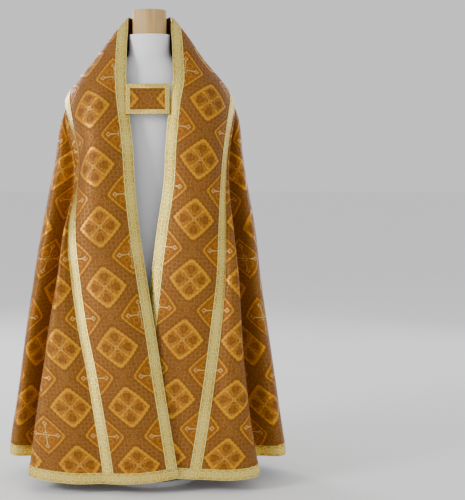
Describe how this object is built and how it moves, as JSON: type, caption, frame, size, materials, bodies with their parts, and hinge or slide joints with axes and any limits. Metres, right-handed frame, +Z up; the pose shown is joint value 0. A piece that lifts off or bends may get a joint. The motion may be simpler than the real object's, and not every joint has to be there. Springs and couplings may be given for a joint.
{
  "type": "cope vestment on dress form",
  "caption": "Floor-length half-circle cope of gold brocade with galloon bands, a breast clasp tab and a fringed back hood, worn on a limbless dress form with a round foot.",
  "frame": {"origin": "centre of the foot's underside", "axes": "+Z up, the wearer faces -Y, +X to the right in the front view"},
  "size_m": [0.8763, 0.483, 1.476],
  "materials": {
    "brocade": "woven gold-brown damask brocade, lustrous raised figure",
    "galloon": "woven metallic gold braid",
    "lining": "plain dark brown lining",
    "satin": "cream satin",
    "gold_thread": "satin-stitch embroidery in golden yellow",
    "bullion": "twisted dull gold fringe cords",
    "button_cloth": "covered buttons",
    "form_cover": "smooth white jersey cover",
    "wood": "pale varnished wood",
    "painted_metal": "white satin paint"
  },
  "bodies": {
    "root": {"arch": "galloon", "button_1": "button_cloth", "button_2": "button_cloth", "button_3": "button_cloth", "button_4": "button_cloth", "button_5": "button_cloth", "cap_left": "galloon", "cap_right": "galloon", "collar_band": "galloon", "collar_facing_left": "lining", "collar_facing_right": "lining", "cross": "gold_thread", "edge_galloon_left": "galloon", "edge_galloon_right": "galloon", "foot": "painted_metal", "hem_galloon_left": "galloon", "hem_galloon_right": "galloon", "hood": "brocade", "hood_band": "galloon", "hood_border": "galloon", "hood_fringe": "bullion", "inner_galloon_left": "galloon", "inner_galloon_right": "galloon", "mantle_left": "brocade", "mantle_right": "brocade", "morse": "brocade", "morse_galloon": "galloon", "neck_block": "wood", "orphrey_left": "brocade", "orphrey_right": "brocade", "pillar_left": "galloon", "pillar_right": "galloon", "post": "painted_metal", "rosette_left": "gold_thread", "rosette_right": "gold_thread", "satin_left": "satin", "satin_middle": "satin", "satin_right": "satin", "side_arch_left": "galloon", "side_arch_right": "galloon", "torso": "form_cover"}
  },
  "joints": []
}
